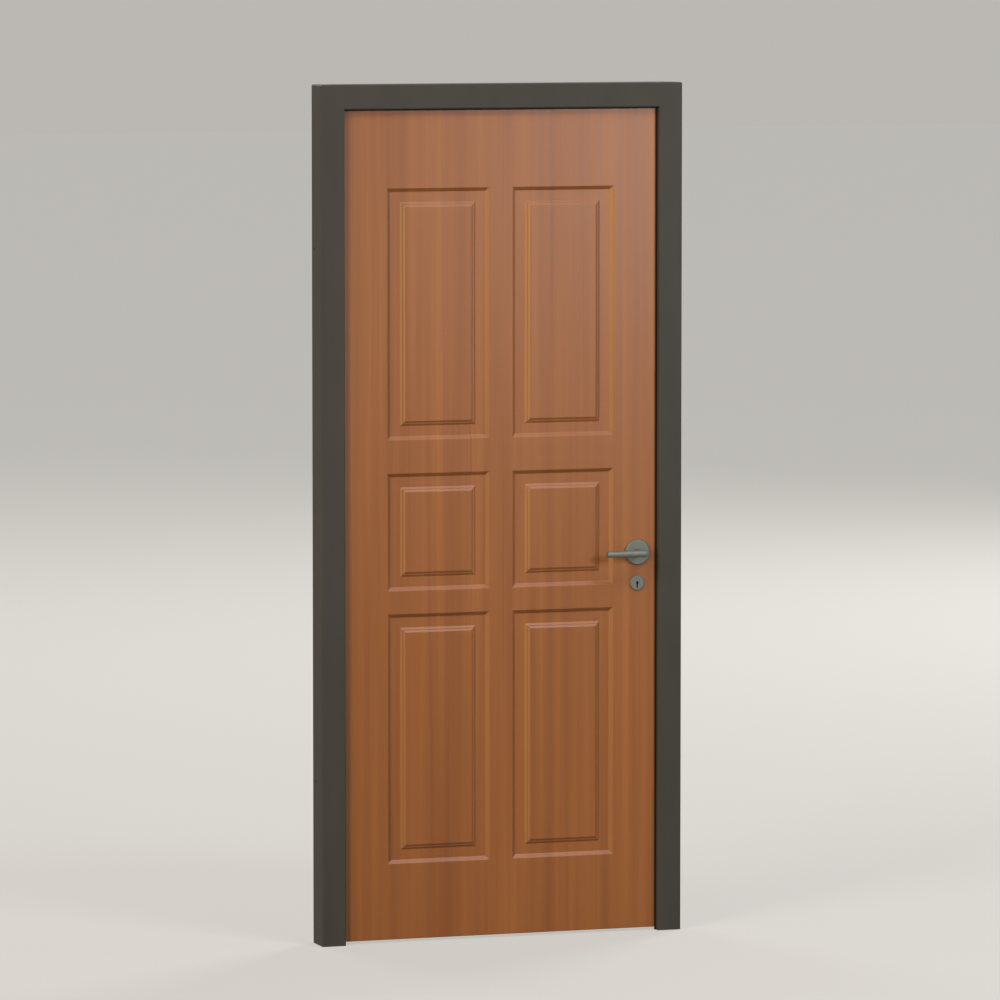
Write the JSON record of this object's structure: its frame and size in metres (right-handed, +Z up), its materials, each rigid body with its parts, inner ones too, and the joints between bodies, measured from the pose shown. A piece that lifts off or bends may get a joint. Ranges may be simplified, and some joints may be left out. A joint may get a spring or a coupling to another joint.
{
  "type": "panelled front door with frame",
  "caption": "Inward-opening panelled door leaf hung on butt hinges in a rebated three-sided frame, with a mortise lock, sprung lever handles on round roses and a keyhole escutcheon.",
  "frame": {"origin": "middle of the frame's footprint on the floor, midway through the frame's depth", "axes": "+X from the hinge side to the lock side, +Y from outside to inside, +Z up"},
  "size_m": [0.928, 0.1624, 2.098],
  "materials": {
    "frame_paint": "satin",
    "seal_rubber": "matte",
    "leaf_veneer": "satin",
    "leaf_timber": "matte",
    "leaf_core": "matte",
    "hinge_steel": "satin",
    "screw_steel": "satin",
    "lock_steel": "satin",
    "handle_metal": "satin",
    "black_plastic": "matte"
  },
  "bodies": {
    "frame": {"hinge_jamb": "frame_paint", "lock_jamb": "frame_paint", "head": "frame_paint", "hinge_side_stop": "frame_paint", "lock_side_stop": "frame_paint", "head_stop": "frame_paint", "hinge_side_seal": "seal_rubber", "lock_side_seal": "seal_rubber", "head_seal": "seal_rubber", "corner_screws": "screw_steel", "frame_hinge_screws": "screw_steel", "strike_plate": "lock_steel", "strike_box": "black_plastic", "strike_screws": "screw_steel", "upper_hinge_frame_plate": "hinge_steel", "upper_hinge_pin": "hinge_steel", "middle_hinge_frame_plate": "hinge_steel", "middle_hinge_pin": "hinge_steel", "lower_hinge_frame_plate": "hinge_steel", "lower_hinge_pin": "hinge_steel"},
    "leaf": {"front_facing": "leaf_veneer", "back_facing": "leaf_veneer", "hinge_stile": "leaf_timber", "lock_stile": "leaf_timber", "top_rail": "leaf_timber", "bottom_rail": "leaf_timber", "core": "leaf_core", "upper_hinge_leaf_plate": "hinge_steel", "middle_hinge_leaf_plate": "hinge_steel", "lower_hinge_leaf_plate": "hinge_steel", "leaf_hinge_screws": "screw_steel", "forend_screws": "screw_steel", "outside_furniture_screws": "screw_steel", "inside_furniture_screws": "screw_steel", "lock_case": "lock_steel", "lock_case_cover": "lock_steel", "lock_forend": "lock_steel", "outside_rose": "handle_metal", "inside_rose": "handle_metal", "outside_escutcheon": "handle_metal", "inside_escutcheon": "handle_metal", "outside_rose_base": "black_plastic", "inside_rose_base": "black_plastic", "outside_escutcheon_base": "black_plastic", "inside_escutcheon_base": "black_plastic"},
    "lever": {"outside_lever": "handle_metal", "inside_lever": "handle_metal", "spindle": "lock_steel", "follower": "lock_steel", "grub_screws": "screw_steel"},
    "latch": {"latch_bolt": "lock_steel", "latch_spring": "lock_steel"},
    "deadbolt": {"dead_bolt": "lock_steel"}
  },
  "joints": [
    {"name": "leaf_swing", "type": "hinge", "parent": "frame", "child": "leaf", "pos_m": [-0.4145, 0.029, 1], "axis": [0, 0, 1], "range_deg": [0, 100]},
    {"name": "lever_turn", "type": "hinge", "parent": "leaf", "child": "lever", "pos_m": [0.353, 0, 0.942], "axis": [0, -1, 0], "range_deg": [0, 35], "stiffness_Nm_per_rad": 1.2, "springref_deg": -20.05},
    {"name": "latch_slide", "type": "slide", "parent": "leaf", "child": "latch", "axis": [-1, 0, 0], "range_m": [0, 0.0126], "deforming": ["latch_spring"]},
    {"name": "dead_bolt_throw", "type": "slide", "parent": "leaf", "child": "deadbolt", "axis": [1, 0, 0], "range_m": [0, 0.02]}
  ],
  "couplings": [
    {"joint": "latch_slide", "follows": "lever_turn", "m_per_rad": 0.020463}
  ]
}
